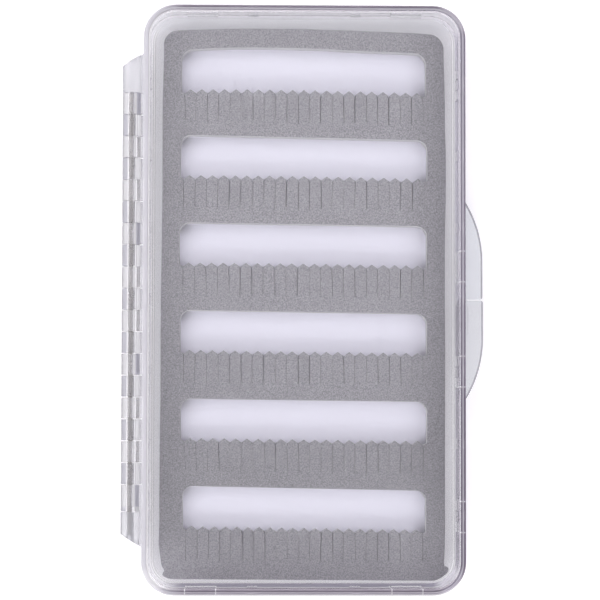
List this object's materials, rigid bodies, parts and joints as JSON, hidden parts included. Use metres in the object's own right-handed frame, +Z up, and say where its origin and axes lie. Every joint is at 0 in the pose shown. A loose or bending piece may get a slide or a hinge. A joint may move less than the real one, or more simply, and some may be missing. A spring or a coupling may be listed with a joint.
{
  "type": "fly box",
  "caption": "Slim clear fly box: two hinged shells with lift tabs and a snap catch, and a slit foam insert with windows over a white backing.",
  "frame": {"origin": "centre of the body's footprint, on the flat underside of the base", "axes": "+X across the box towards the lift tabs, +Y along the box, +Z up out of the lid"},
  "size_m": [0.1171, 0.19, 0.016],
  "materials": {
    "clear_shell": "clear, polished moulding",
    "pin_steel": "drawn wire",
    "clear_film": "thin clear adhesive film",
    "white_foam": "closed-cell foam with a smooth skin",
    "grey_foam": "split closed-cell foam with a fine open grain"
  },
  "bodies": {
    "base": {"base_shell": "clear_shell", "hinge_pin": "pin_steel", "adhesive_film": "clear_film", "foam_backing": "white_foam", "laminating_film": "clear_film", "foam_insert": "grey_foam"},
    "lid": {"lid_shell": "clear_shell"}
  },
  "joints": [
    {"name": "lid_hinge", "type": "hinge", "parent": "base", "child": "lid", "pos_m": [-0.056, 0, 0.008], "axis": [0, -1, 0], "range_deg": [0, 180]}
  ]
}
